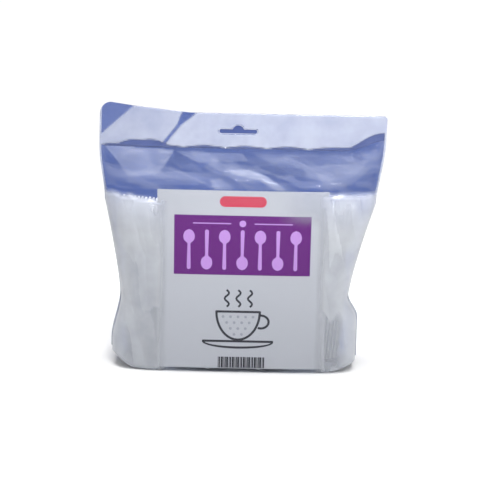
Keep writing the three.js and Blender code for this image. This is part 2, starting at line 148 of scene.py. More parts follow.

# Milky share of each face of the film, from clear over the card to pale at the welds; the same share also
# carries painted highlights, painted sheen, painted shade and painted shadow
HEADER_MILK = 0.6
# Painted shade and shadow: the bent left third, the turned corner and the crease are less pale
THIRD_SHADED_MILK = HEADER_MILK * 0.86
TURNED_SHADED_MILK = HEADER_MILK * 0.12
CREASE_SHADOW_SHARE = 0.06
WELD_MILK = 0.6
# Film near the sides seen edge-on: partly frosted, partly painted sheen for its reflection
SIDE_SHEEN_MILK, SIDE_FROM, SIDE_RUN = 0.72, 0.82, 0.14
SLACK_SIDE_SHEEN_MILK, SLACK_SIDE_FROM = SIDE_SHEEN_MILK * 0.12, 0.95
# SPOON_VARIATION scales the painted crumple shading
SPOON_MILK, SPOON_VARIATION = 0.5, 0.25
# Painted highlight along the spoons' tops
RIM_HIGHLIGHT, RIM_HEIGHT, RIM_BLUR = 0.75, 0.6, 1.6
VEIL_MILK, VEIL_RUN = 0.4, 3.6
# Painted sheen lightening the top of the card, and a painted glare at its right
TOP_SHEEN, TOP_SHEEN_LEVEL, SHEEN_RUN = 0.03, 110.0, 14.0
GLARE_MILK, GLARE_X, GLARE_WIDTH, GLARE_LEVEL = 0.3, 22.0, 34.0, 103.0
# The last two are painted highlights on the slack film's facets that slope upwards
SHOULDER_MILK, LARGE_HIGHLIGHT, SMALL_HIGHLIGHT = 0.03, 0.035, 0.04
FACET_CONTRAST, FACET_START = 3, 0.25
HIGHLIGHT_LOW, HIGHLIGHT_VARIATION = 0.9, 0.35
WALL_MILK = 0.008
BLUE_MILK = 0.2
# Painted shade: the dark share on the back film under the header's edge and on the slot's tongue
SHADE_MILK = 0.85

# Sharpness of the edges of the milky places, and the header's crease (painted shadow) and patches (painted
# shading)
WELD_BLUR, FOLD_BLUR = 0.8, 1.4
BESIDE_BLUR, CARD_EDGE_BLUR = 8.0, 1.5
CREASE_HEAD, CREASE_TAIL, CREASE_TAPER, CREASE_OFFSET = 3.4, 0.8, 2.2, 0.5
# Painted shading on the header: broad patches, and paler towards the bottom
PATCH, PATCH_WIDTH, PATCH_HEIGHT, PATCH_SEED, PATCH_DROP = 0.14, 30.0, 12.0, 7.7, 0.06

# Hang slot
SLOT_WIDTH, SLOT_ARM, CROWN_RADIUS = 27.0, 3.4, 4.5
SLOT_DROP, SLOT_SHIFT = 12.5, -3.0
PUNCH_REACH = 30.0
FLAP_ANGLE, FLAP_GAP = 6.0, 0.25

# Levels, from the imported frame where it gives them
FILM_LOW, FILM_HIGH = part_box("front_film")
FLAT_HALF = (FILM_HIGH[0] - FILM_LOW[0]) / 2 / MM
SPOON_FLOOR = CAD_FILM + GAP + SPOON_ROOM
CARD_FLOOR = FOOT_RADIUS + CAD_FILM / 2
WALL_TOP = max(SPOON_FLOOR + END_LIFT + SPOON_LENGTH, CARD_FLOOR + CARD_HEIGHT) + GAP + CAD_FILM
WELD_LINE = WALL_TOP + SHOULDER_HEIGHT
TOP_EDGE = WELD_LINE + HEADER_HEIGHT
WAIST_LEVEL = SPOON_FLOOR + SPOON_LENGTH * WAIST_SHARE
SPOON_TOPS = SPOON_FLOOR + SPOON_LENGTH
SEAM = (CAD_FILM + GAP) / 2
HALF_DEPTH = -FILM_LOW[1] / MM - CAD_FILM / 2 - SEAM
TONE_LOW, TONE_HIGH = WALL_TOP - 30, WALL_TOP + 6

# Print on the card
INK = 0.03
TIP_START = 0.2
PRINT_X = 1.5
LABEL_LEVEL, LABEL_LENGTH, LABEL_HEIGHT = 121.2, 32.0, 7.4
FIELD_LOW, FIELD_HIGH, FIELD_HALF, FIELD_STEPS = 70.0, 111.6, 46.8, 32
RULE_LEVEL, RULE_LENGTH, RULE_HALF, RULE_STEPS = FIELD_HIGH - 5.6, 26.0, 0.4, 10
RULE_STARTS = (-34.0, 8.0)
DISC = 4.6
ICON_COUNT, ICON_PITCH, ICON_LENGTH, ICON_LEVEL = 7, 12.2, 28.0, FIELD_LOW + 17.6
ICON_BROADENING, ICON_STEPS = 1.25, 40
CUP_X, CUP_TOP, CUP_LINE = PRINT_X - 2, 44.0, 1.6
CUP_HALF, CUP_DEPTH = 15.0, 20.0
EAR_DROP, EAR_WIDTH, EAR_HEIGHT = 7.0, 5.4, 4.6
EAR_START, EAR_END = -0.62 * math.pi, 0.6 * math.pi
SAUCER_HALF, SAUCER_DEPTH, SAUCER_DROP, SAUCER_RIM_DROP = 24.0, 4.2, 21.5, 21.2
STEAM_COUNT, STEAM_PITCH, STEAM_GAP, STEAM_LINE = 3, 8.0, 3.5, 1.4
STEAM_HEIGHT, STEAM_SWING, STEAM_TURN = 12, 1.5, 0.8
DOT_ROWS, DOT, DOT_STEPS = (2, 2, 1, 1), 2.0, 4
DOT_PITCH, DOT_DROP, DOT_ROW_PITCH = 5.2, 3.6, 4.2
DOT_REACH, DOT_REACH_LOSS = 11.5, 1.6
BARS_START, BARS_LOW, BARS_HIGH, BARS_COUNT = PRINT_X - 15.5, 3.6, 11.5, 26
BAR_UNIT, BAR_GAP = 0.46, 0.24


def clamp01(t):
    return min(1.0, max(0.0, t))


def smooth(t):
    t = clamp01(t)
    return t * t * (3 - 2 * t)


def mix(a, b, t):
    return a + (b - a) * t


# Form of the bag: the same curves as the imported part, sampled finer

def side_edge(room, shift, z):
    """Distance of the bag's side from the middle at a level."""
    stations = [
        (0, HANDLES_HALF + room["foot"] + shift),
        (room["foot_top"], HANDLES_HALF + room["foot"] + shift),
        (WAIST_LEVEL, HANDLES_HALF + room["waist"] + shift),
        (SPOON_TOPS, CONTENTS_HALF + room["top"] + shift),
        (WELD_LINE, FLAT_HALF - GAP),
        (TOP_EDGE + LEFT_RISE, FLAT_HALF),
    ]
    for (z0, w0), (z1, w1) in zip(stations, stations[1:]):
        if z < z1:
            break
    share = clamp01((z - z0) / (z1 - z0))
    return mix(w0, w1, share**WAIST_EASE if z0 == WAIST_LEVEL else smooth(share))


def left_edge(z):
    return -side_edge(LEFT_ROOM, -EDGE_SHIFT, z)


def right_edge(z):
    return side_edge(RIGHT_ROOM, EDGE_SHIFT, z)


def side_of(line, x, z):
    """Distance of a point in front view from a line, positive on the right of the line's direction."""
    (x0, z0), (x1, z1) = line
    return ((x - x0) * (z1 - z0) - (z - z0) * (x1 - x0)) / math.hypot(x1 - x0, z1 - z0)


HEADER_CREASE = ((-BEND_TOP, TOP_EDGE), (-BEND_FOOT, WELD_LINE))
CORNER_CREASE = (
    (CORNER_TOP - FLAT_HALF, TOP_EDGE + LEFT_RISE),
    (-FLAT_HALF, TOP_EDGE - CORNER_SIDE),
)


def header_bend(x, z):
    """Depth of the header's bent left third and of its turned corner."""
    third = max(0.0, side_of(HEADER_CREASE, x, z))
    corner = max(0.0, side_of(CORNER_CREASE, x, z))
    return BEND_SLOPE * third + CORNER_SLOPE * corner


def top_edge(x):
    rise = LEFT_RISE * clamp01((-BEND_TOP - x) / (FLAT_HALF - BEND_TOP - LEFT_CORNER))
    radius = LEFT_CORNER if x < 0 else RIGHT_CORNER
    past = clamp01((abs(x) - FLAT_HALF + radius) / radius)
    return TOP_EDGE + rise - radius * (1 - math.sqrt(1 - past * past))


def weld_line(x):
    return WELD_LINE + WELD_RISE * smooth((x - FLAT_HALF) / WELD_RISE_RUN + 1)


def bulge_share(across, power):
    return (1 - min(1.0, abs(across)) ** power) ** (1 / power)


def across_at(x, z):
    left = left_edge(z) + SIDE_WELD
    right = right_edge(z) - SIDE_WELD
    return 2 * (x - left) / (right - left) - 1


# Folds of the slack film: ends as (x, share of the shoulder from the weld down), height, width
FRONT_FOLDS = [
    ((-49, 0.2), (-85, 0.85), 5.0, 12),
    ((-66, 0.1), (-60, 0.5), -3.2, 10),
    ((-24, 0.15), (-20, 0.9), -3.6, 11),
    ((-5, 0.3), (28, 1.0), 4.2, 12),
    ((48, 0.25), (64, 0.9), 4.6, 11),
    ((84, 0.45), (64, 0.9), 3.6, 10),
]
BACK_FOLDS = [
    ((-80, 0.15), (-58, 0.9), 4.4, 11),
    ((-30, 0.2), (-46, 0.9), -3.6, 11),
    ((2, 0.2), (-12, 0.95), 4.4, 11),
    ((40, 0.1), (26, 0.8), -3.4, 11),
    ((82, 0.3), (56, 0.95), 4.4, 11),
]


def fold_height(folds, x, share):
    total = 0.0
    point = Vector((x, share * SHOULDER_HEIGHT))
    for start, end, height, width in folds:
        a = Vector((start[0], start[1] * SHOULDER_HEIGHT))
        run = Vector((end[0], end[1] * SHOULDER_HEIGHT)) - a
        along = clamp01((point - a).dot(run) / run.length_squared)
        total += height * max(0.0, 1 - (point - a - run * along).length / width)
    return total


def facets(x, z, size, seed):
    """Crumpled film as flat facets: height between -0.5 and 0.5, and the facet's slope upwards."""
    wide, high = x / size[0], z / size[1]
    u = wide + FACET_WARP * noise.noise(Vector((wide, high, seed)))
    v = high + FACET_WARP * noise.noise(Vector((high, wide, -seed)))
    i, j = math.floor(u), math.floor(v)
    fu, fv = u - i, v - j

    def corner(a, b):
        return noise.cell(Vector((i + a + 0.5, j + b + 0.5, seed)))

    if fu + fv < 1:
        along, up = corner(1, 0) - corner(0, 0), corner(0, 1) - corner(0, 0)
        height = corner(0, 0) + fu * along + fv * up
    else:
        along, up = corner(1, 1) - corner(0, 1), corner(1, 1) - corner(1, 0)
        height = corner(1, 1) - (1 - fu) * along - (1 - fv) * up
    return height - 0.5, up


def row_profile(part, share, x):
    """Height, depth and progress round the bottom corner of a row of the film."""
    if part == "header":
        return mix(top_edge(x), weld_line(x), share), 0.0, 0.0
    if part == "shoulder":
        depth = HALF_DEPTH * math.sin(share * math.pi / 2) ** SHOULDER_EASE
        return mix(weld_line(x), WALL_TOP, share), depth, 0.0
    if part == "wall":
        return mix(WALL_TOP, FOOT_RADIUS + CAD_FILM / 2, share), HALF_DEPTH, 0.0
    if part == "foot":
        turn = share * math.pi / 2
        z = CAD_FILM / 2 + FOOT_RADIUS * (1 - math.sin(turn))
        return z, HALF_DEPTH - FOOT_RADIUS * (1 - math.cos(turn)), FOOT_TURN * share
    return CAD_FILM / 2, (HALF_DEPTH - FOOT_RADIUS) * (1 - share), mix(FOOT_TURN, 1.0, share)


def contents_top(x):
    """Level under which the film lies against the spoons beside the card."""
    wave = TOPS_WAVE * noise.noise(Vector((x / TOPS_WAVE_RUN, TOPS_SEED, 0.0)))
    if x < 0:
        return mix(OUTER_TOPS, INNER_TOPS, clamp01((x - SLOPE_START) / SLOPE_RUN)) + wave
    return RIGHT_TOPS + wave


def past_card(x):
    """Distance of a place beyond the card's nearer side edge, negative over the card."""
    return abs(x - CARD_SHIFT) - CARD_WIDTH / 2


def slack_relief(folds, x, z, share, seed):
    """Folds and facets of the slack film between the weld and the contents."""
    slack = math.sin(share * math.pi) * (1 - share**3)
    relief = fold_height(folds, x, share)
    relief += facets(x, z, LARGE_FACETS, seed)[0] * LARGE_RELIEF
    relief += facets(x, z, SMALL_FACETS, seed + SMALL_SEED)[0] * SMALL_RELIEF
    return relief * slack


def wall_relief(x, z, share, seed):
    """Ribs of the film over the spoons, and the ledge where it leaves their tops."""
    outside = smooth((past_card(x) + BESIDE_INSET) / BESIDE_RUN)
    fade = smooth(share / RIB_START) * smooth((1 - share) / RIB_END)
    rib = facets(x, z, RIB_FACETS, seed)[0] + 0.5
    below = contents_top(x) - z
    ledge = outside * (smooth(below / LEDGE_STEP + 0.5) - smooth(below / LEDGE_RUN))
    return fade * mix(CARD_RIB, SIDE_RIB, outside) * rib + LEDGE * ledge


def film_point(facing, folds, part, share, across, weld):
    """Point in the middle of a film's thickness, from its place down the sheet and across it."""
    level, _, corner = row_profile(part, share, 0.0)
    left = left_edge(level) + LEFT_RUN * corner
    right = right_edge(level) - RIGHT_RUN * corner
    x = mix(left + SIDE_WELD, right - SIDE_WELD, (across + 1) / 2) + weld * SIDE_WELD
    z, depth, _ = row_profile(part, share, x)
    power = mix(BOX_POWER, LENS_POWER, smooth((z - SPOON_TOPS) / (WELD_LINE - SPOON_TOPS)))
    bulge = bulge_share(across, power)
    lift = LEFT_LIFT if x < 0 else RIGHT_LIFT
    end = smooth((abs(across) - LIFT_FROM) / (1 - LIFT_FROM)) * clamp01(1 - z / WAIST_LEVEL)
    if facing > 0:
        x *= 1 - BACK_DRAW * bulge * smooth((WAIST_LEVEL - z) / BACK_DRAW_RUN)
    y = facing * (SEAM + depth * bulge)
    seed = FILM_SEED[facing]
    if part == "header":
        ripple = noise.noise(Vector((x / RIPPLE_WIDTH, z / RIPPLE_HEIGHT, seed)))
        y += header_bend(x, z) + facing * HEADER_RIPPLE * ripple
    elif part == "shoulder":
        y += header_bend(x, weld_line(x)) * (1 - share)
        y += facing * slack_relief(folds, x, z, share, seed) * bulge
    elif part == "wall":
        y += facing * wall_relief(x, z, share, seed) * bulge
    return Vector((x, y, z + lift * (1 - corner) ** 2 * end)) * MM


# Painted highlights on facets of the slack front film that catch the light: corners as (x, share of the
# shoulder), milky share
HIGHLIGHT_FACETS = [
    ([(-96, 0.0), (-77, 0.74), (-56, 0.62), (-47, 0.05)], 0.14),
    ([(-45, 0.08), (0, 0.1), (4, 0.26), (-30, 0.34)], 0.1),
    ([(-10, 0.5), (4, 0.46), (17, 0.62), (31, 1.0), (24, 1.0), (11, 0.72), (-2, 0.62)], 0.17),
    ([(-21, 0.76), (-14, 0.7), (-4, 1.0), (-19, 1.0)], 0.14),
    ([(47, 0.36), (58, 0.92), (75, 0.8), (95, 0.36), (90, 0.28)], 0.11),
    ([(-95, 0.5), (-90, 0.62), (-84, 1.0), (-92, 1.0)], 0.08),
]


def inside(corners, x, z):
    """Whether a point lies inside an outline."""
    odd = False
    for (x0, z0), (x1, z1) in zip(corners, corners[1:] + corners[:1]):
        if (z0 > z) != (z1 > z) and x < x0 + (z - z0) / (z1 - z0) * (x1 - x0):
            odd = not odd
    return odd


def weld_wave(x):
    """Height of the lower edge of the pale header over its weld line: scallops, a lens and a wedge. The
    strip below it is painted shadow on the back film.
    """
    scallop = SCALLOP * abs(math.sin(math.pi * (x - SCALLOP_START) / SCALLOP_RUN)) + SCALLOP_LOW
    lens = LENS * max(0.0, 1 - ((x - LENS_X) / LENS_HALF) ** 2)
    wedge = WEDGE * smooth((x - WEDGE_X) / WEDGE_RUN)
    return scallop + lens + wedge


def welded_share(x, z):
    """Share of the header's welding at a place: none under its wavy lower edge, and full over it."""
    return smooth((z - weld_line(x) - weld_wave(x)) / WELD_BLUR + 0.5)


def header_milk_and_shade(x, z):
    """Milky share of the front film's header: pale, with painted shade on its bent left third and its turned
    corner, painted shadow in its crease, and painted shading in patches and paler towards the bottom.
    """
    turned = smooth(side_of(CORNER_CREASE, x, z) / FOLD_BLUR + 0.5)
    past = side_of(HEADER_CREASE, x, z)
    third = smooth(past / FOLD_BLUR + 0.5)
    drop = (top_edge(x) - z) / HEADER_HEIGHT
    half_width = mix(CREASE_HEAD, CREASE_TAIL, smooth(drop * CREASE_TAPER))
    crease = smooth((abs(past - CREASE_OFFSET) - half_width) / WELD_BLUR)
    # Painted shading: broad patches, and paler towards the bottom of the header
    patch = 1 + PATCH * noise.noise(Vector((x / PATCH_WIDTH, z / PATCH_HEIGHT, PATCH_SEED)))
    patch += PATCH_DROP * (drop - 0.5)
    pale = mix(HEADER_MILK, THIRD_SHADED_MILK, third) * patch
    pale = mix(pale, TURNED_SHADED_MILK, turned) * mix(CREASE_SHADOW_SHARE, 1.0, crease)
    return mix(SHOULDER_MILK, pale, welded_share(x, z))


def shoulder_milk_and_highlights(x, z, share, seed):
    """Milky share of the slack front film, with painted highlights: on larger and smaller facets by their
    upward slope, and on the facets that catch the light.
    """
    # Painted highlights: facets sloping upwards are paler
    large = smooth(-facets(x, z, LARGE_FACETS, seed)[1] * FACET_CONTRAST)
    small = smooth(-facets(x, z, SMALL_FACETS, seed + SMALL_SEED)[1] * FACET_CONTRAST)
    shades = [SHOULDER_MILK + (LARGE_HIGHLIGHT * large + SMALL_HIGHLIGHT * small) * smooth(share / FACET_START)]
    for corners, milk in HIGHLIGHT_FACETS:
        if inside(corners, x, share):
            shades.append(milk * (HIGHLIGHT_LOW + HIGHLIGHT_VARIATION * small))
    return max(shades)


def beside_milk_and_shading(slack, across, x, z, seed):
    """Milky share beside the card: slack film over the spoons' tops, and film against them below, with
    painted shading by the slope of crumples that are not in the sheet, random clouds, a painted highlight
    along the tops and painted sheen at the sides.
    """
    # Partly frosted film, partly painted sheen where the film turns edge-on
    side = smooth((abs(across) - SIDE_FROM) / SIDE_RUN)
    below = contents_top(x) - z
    crumple_shading = facets(x, z, CRUMPLE_FACETS, seed)[1]
    crumple_shading += CRUMPLE_CLOUD * noise.noise(Vector((x / CLOUD_WIDTH, z / CLOUD_HEIGHT, seed)))
    spoons = mix(SPOON_MILK * (1 + SPOON_VARIATION * crumple_shading), SIDE_SHEEN_MILK, side)
    # Painted highlight along the tops of the spoons
    spoons = mix(RIM_HIGHLIGHT, spoons, smooth((below - RIM_HEIGHT) / RIM_BLUR))
    veil = VEIL_MILK * smooth((below + VEIL_RUN) / VEIL_RUN)
    return mix(max(slack, veil), spoons, smooth(below / WELD_BLUR + 0.5))


def card_milk_and_highlights(x, z):
    """Milky share over the card: clear, with a painted sheen lightening its top and a painted glare at its
    right.
    """
    haze = TOP_SHEEN * smooth((z - TOP_SHEEN_LEVEL) / SHEEN_RUN)
    glare = GLARE_MILK * smooth((x - GLARE_X) / GLARE_WIDTH) * smooth((z - GLARE_LEVEL) / SHEEN_RUN)
    return WALL_MILK + haze + glare


def film_milk_and_light(facing, part, share, across, weld, x, z):
    """Share of the film's surface that scatters light: welds and film against the spoons look milky, and
    painted highlights, sheen, shade and shadow are laid into the same share.
    """
    if facing > 0:
        # The back film under the header's wavy lower edge is darkened with painted shadow
        weld_shadow = 1 - welded_share(x, z) if part == "header" else 0.0
        return mix(BLUE_MILK, SHADE_MILK, weld_shadow)
    if weld:
        return WELD_MILK
    if part == "header":
        return header_milk_and_shade(x, z)
    seed = FILM_SEED[facing]
    slack = shoulder_milk_and_highlights(x, z, share, seed) if part == "shoulder" else SHOULDER_MILK
    # Painted sheen where the slack film turns edge-on at the sides
    slack = mix(slack, SLACK_SIDE_SHEEN_MILK, smooth((abs(across) - SLACK_SIDE_FROM) / (1 - SLACK_SIDE_FROM)))
    if part == "shoulder" or contents_top(x) < z:
        outside = smooth(past_card(x) / CARD_EDGE_BLUR)
    else:
        outside = smooth((past_card(x) + BESIDE_INSET) / BESIDE_BLUR)
    over_card = slack if part == "shoulder" else card_milk_and_highlights(x, z)
    return mix(over_card, beside_milk_and_shading(slack, across, x, z, seed), outside)


def film_grid(facing, folds):
    """Rows of points on a film sheet, and the milkiness at each point, painted light and shade included."""
    edge = [(-1.0, w / WELD_STEPS - 1) for w in range(WELD_STEPS)]
    columns = FILM_COLUMNS[facing]
    spread = [2 * c / columns - 1 for c in range(columns + 1)]
    middle = [(mix(u, math.sin(u * math.pi / 2), EDGE_CROWDING), 0.0) for u in spread]
    places = edge + middle + [(-across, -weld) for across, weld in reversed(edge)]
    rows, milk = [], []
    for part, count in FILM_ROWS:
        for i in range(0 if part == "header" else 1, count + 1):
            share = i / count
            line = [film_point(facing, folds, part, share, across, weld) for across, weld in places]
            tone = [
                film_milk_and_light(facing, part, share, across, weld, v.x / MM, v.z / MM)
                for (across, weld), v in zip(places, line)
            ]
            rows.append(line if facing < 0 else line[::-1])
            milk.append(tone if facing < 0 else tone[::-1])
    return rows, milk


# Building blocks of the pieces

def new_piece(name, vertices, faces, material, replaced=None):
    mesh = bpy.data.meshes.new(name)
    mesh.from_pydata([tuple(v) for v in vertices], [], faces)
    mesh.update()
    piece = bpy.data.objects.new(name, mesh)
    bpy.context.collection.objects.link(piece)
    mesh.materials.append(material)
    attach(piece, "root")
    if replaced:
        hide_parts(replaced)
    return piece


def set_milk_and_light(piece, values):
    tone = piece.data.attributes.new("film_milk_and_light", "FLOAT", "POINT")
    tone.data.foreach_set("value", values)


def smooth_faces(piece):
    piece.data.polygons.foreach_set("use_smooth", [True] * len(piece.data.polygons))


def apply_modifiers(piece):
    graph = bpy.context.evaluated_depsgraph_get()
    mesh = bpy.data.meshes.new_from_object(piece.evaluated_get(graph))
    old = piece.data
    piece.modifiers.clear()
    piece.data = mesh
    bpy.data.meshes.remove(old)


def prism(outline, y0, y1):
    """Closed prism over an outline in front view, from depth y0 to depth y1, in metres."""
    count = len(outline)
    vertices = [Vector((x, y, z)) * MM for y in (y0, y1) for x, z in outline]
    flat = [Vector((x, z, 0)) for x, z in outline]
    caps = [tuple(t) for t in tessellate_polygon([flat])]
    faces = caps + [tuple(count + i for i in reversed(t)) for t in caps]
    faces += [(i, count + i, count + (i + 1) % count, (i + 1) % count) for i in range(count)]
    return vertices, faces


def sheet_faces(rows, columns):
    """Faces of a closed sheet whose points run row by row, first over its front and then over its back."""
    width = columns + 1
    layer = width * (rows + 1)
    faces = []
    for r in range(rows):
        for c in range(columns):
            a = r * width + c
            faces.append((a, a + 1, a + width + 1, a + width))
            faces.append((layer + a, layer + a + width, layer + a + width + 1, layer + a + 1))
    rim = list(range(columns))
    rim += [r * width + columns for r in range(rows)]
    rim += [rows * width + c for c in range(columns, 0, -1)]
    rim += [r * width for r in range(rows, 0, -1)]
    for a, b in zip(rim, rim[1:] + rim[:1]):
        faces.append((b, a, layer + a, layer + b))
    return faces


# Films and the slot in their header

def slot_outline(grow=0.0, steps=10):
    """Outline of the hang slot in front view: round-ended arms with a round crown over the middle."""
    half = SLOT_ARM / 2 + grow
    reach = SLOT_WIDTH / 2 - SLOT_ARM / 2
    crown = math.asin(min(1.0, half / (CROWN_RADIUS + grow)))
    points = []
    for centre, radius, a0, a1 in (
        (-reach, half, math.pi / 2, 3 * math.pi / 2),
        (reach, half, -math.pi / 2, math.pi / 2),
        (0.0, CROWN_RADIUS + grow, crown, math.pi - crown),
    ):
        for i in range(steps + 1):
            angle = mix(a0, a1, i / steps)
            points.append((centre + radius * math.cos(angle), radius * math.sin(angle)))
    return [(x + SLOT_SHIFT, z + TOP_EDGE - SLOT_DROP) for x, z in points]


def punch_slot(piece):
    vertices, faces = prism(slot_outline(), -PUNCH_REACH, PUNCH_REACH)
    mesh = bpy.data.meshes.new("punch")
    mesh.from_pydata([tuple(v) for v in vertices], [], faces)
    punch = bpy.data.objects.new("punch", mesh)
    bpy.context.collection.objects.link(punch)
    cut = piece.modifiers.new("slot", "BOOLEAN")
    cut.operation = "DIFFERENCE"
    cut.solver = "EXACT"
    cut.object = punch
    apply_modifiers(piece)
    bpy.data.objects.remove(punch)
    bpy.data.meshes.remove(mesh)


def film_piece(name, facing, folds, material, replaced):
    grid, milk = film_grid(facing, folds)
    columns = len(grid[0])
    vertices = [v for line in grid for v in line]
    faces = []
    for r in range(len(grid) - 1):
        for c in range(columns - 1):
            a = r * columns + c
            faces.append((a, a + columns, a + columns + 1, a + 1))
    piece = new_piece(name, vertices, faces, material, replaced)
    set_milk_and_light(piece, [value for line in milk for value in line])
    solid = piece.modifiers.new("thickness", "SOLIDIFY")
    solid.thickness = FILM * MM
    solid.offset = 0
    apply_modifiers(piece)
    punch_slot(piece)
    smooth_faces(piece)
    return piece


def slot_flap(material):
    """Tongue of film left in the punched slot, hinged at its lower edge and pushed back, darkened with
    painted shade to stand for the shade seen through the slot.
    """
    outline = slot_outline(-FLAP_GAP)
    hinge = min(z for _, z in outline)
    vertices, faces = prism(outline, -FILM / 2, FILM / 2)
    back = Matrix.Rotation(math.radians(-FLAP_ANGLE), 3, "X")
    pivot = Vector((0, SEAM, hinge)) * MM
    vertices = [back @ (v - Vector((0, 0, hinge)) * MM) + pivot for v in vertices]
    flap = new_piece("slot_flap", vertices, faces, material)
    # Painted shade: the tongue is made dark to stand for the shade in the slot
    set_milk_and_light(flap, [SHADE_MILK] * len(vertices))
    return flap


# Teaspoons

def spoon_half_width(s):
    """Half of a spoon's width at a distance from the end of its handle."""
    handle = mix(HANDLE_WIDTH, NECK_WIDTH, clamp01(s / HANDLE_LENGTH)) / 2
    end = HANDLE_WIDTH / 2
    if s < end:
        handle *= math.sqrt(max(HANDLE_BLUNTNESS, 1 - (1 - s / end) ** 2))
    q = clamp01((s - HANDLE_LENGTH) / BOWL_LENGTH)
    if q <= 0:
        return handle
    bowl = BOWL_WIDTH / 2 * math.sqrt(max(0.0, 1 - (2 * q**BOWL_EGG - 1) ** 2))
    neck = NECK_WIDTH / 2 * (1 - smooth((q - NECK_FADE) / NECK_FADE_RUN))
    return max(TIP_HALF, (bowl**NECK_BLEND + neck**NECK_BLEND) ** (1 / NECK_BLEND))


def spoon_surface(s, t):
    """Depth of the spoon's middle surface at a place along its length and across its width."""
    arch = HANDLE_ARCH * math.sin(math.pi * clamp01(s / HANDLE_LENGTH))
    q = clamp01((s - HANDLE_LENGTH) / BOWL_LENGTH)
    dish = BOWL_DEPTH * math.sin(math.pi * q) ** DISH_POWER * (1 - t * t)
    channel = HANDLE_CHANNEL * (0.5 - t * t) * (1 - smooth(q / CHANNEL_FADE))
    return arch + dish + channel


def spoon_mesh():
    vertices = []
    for side in (-0.5, 0.5):
        for r in range(SPOON_ROWS + 1):
            s = SPOON_LENGTH * r / SPOON_ROWS
            half = spoon_half_width(s)
            for c in range(SPOON_COLUMNS + 1):
                t = math.sin((c / SPOON_COLUMNS - 0.5) * math.pi)
                wall = SPOON_WALL * (1 - EDGE_THINNING * abs(t) ** EDGE_POWER)
                vertices.append(Vector((half * t, spoon_surface(s, t) + side * wall, s)))
    return vertices, sheet_faces(SPOON_ROWS, SPOON_COLUMNS)


def column_depth(count):
    return count * NEST_PITCH + BOWL_DEPTH


def column_row(counts, row):
    """Places of the columns of one row: count, x, y, turn about the length, bowls up, outward side."""
    middle = (len(counts) - 1) / 2
    places = []
    for i, count in enumerate(counts):
        x = CONTENTS_SHIFT + (i - middle) * COLUMN_PITCH
        y = (CARD_THICKNESS + GAP + row * (column_depth(count) + ROW_ROOM)) / 2
        places.append((count, x, y, math.pi, (i % 2 == 0) == (row < 0), 0))
    return places


def end_column(side):
    x = CONTENTS_SHIFT + side * (END_INNER + column_depth(END_COUNT) / 2)
    return END_COUNT, x, 0.0, -side * math.pi / 2, True, side


COLUMNS = [end_column(-1)] + column_row(FRONT_COUNTS, -1) + [end_column(1)] + column_row(BACK_COUNTS, 1)


def fan_share(s):
    """Share of the fanning of an end column at a place along its spoons: none below the bag's waist."""
    return max(0.0, (s - WAIST_LEVEL) / (SPOON_LENGTH - WAIST_LEVEL)) ** FAN_POWER


def nested_spoons(number, count, outward):
    """Spoons of one column, each lying a little loose on the one before."""
    chance = random.Random(SPOON_SEED + number)
    loose = END_LOOSE if outward else ROW_LOOSE
    base, base_faces = spoon_mesh()
    vertices, faces = [], []
    for i in range(count):
        depth = (i + 0.5) * NEST_PITCH
        sunk = END_LIFT * (i / (count - 1) - 1) if outward else 0.0
        across = chance.uniform(-loose, loose)
        shift = Vector((across, depth, chance.uniform(-LENGTH_LOOSE, LENGTH_LOOSE) + sunk))
        tilt = Matrix.Rotation(math.radians(chance.uniform(-loose, loose)), 3, "Y")
        fan = Vector((0, depth * END_SPREAD[outward], 0))
        first = len(vertices)
        vertices += [tilt @ v + shift + fan * fan_share(v.z) for v in base]
        faces += [tuple(first + k for k in face) for face in base_faces]
    return vertices, faces


def spoon_column(number, place, material):
    count, x, y, turn, bowls_up, outward = place
    vertices, faces = nested_spoons(number, count, outward)
    centre = Vector((0, -column_depth(count) / 2, -SPOON_LENGTH / 2))
    stand = Matrix.Rotation(turn, 3, "Z") if bowls_up else Matrix.Rotation(math.pi, 3, "Y")
    lean = Matrix.Rotation(math.radians(outward * END_LEAN), 3, "Y")
    raise_up = Vector((0, y, SPOON_LENGTH / 2))
    vertices = [lean @ (stand @ (v + centre) + raise_up) for v in vertices]
    z = SPOON_FLOOR - min(v.z for v in vertices)
    vertices = [(v + Vector((x, 0, z))) * MM for v in vertices]
    node = f"teaspoon_stack_{number}"
    piece = new_piece(f"teaspoons_{number}", vertices, faces, material, node)
    smooth_faces(piece)
    return piece


# Card and its print

def card_face(x):
    """Depth of the card's front at a place across it, in millimetres."""
    film = SEAM + HALF_DEPTH * bulge_share(across_at(x, WAIST_LEVEL), BOX_POWER)
    return -(film - CAD_FILM / 2 - GAP)


def card_piece(material):
    vertices = []
    for back in (0, 1):
        for r in range(CARD_ROWS + 1):
            z = CARD_FLOOR + CARD_HEIGHT * r / CARD_ROWS
            for c in range(CARD_COLUMNS + 1):
                x = CARD_SHIFT + CARD_WIDTH * (c / CARD_COLUMNS - 0.5)
                vertices.append(Vector((x, card_face(x) + back * CARD_THICKNESS, z)) * MM)
    faces = sheet_faces(CARD_ROWS, CARD_COLUMNS)
    return new_piece("label_card_sheet", vertices, faces, material, "label_card")


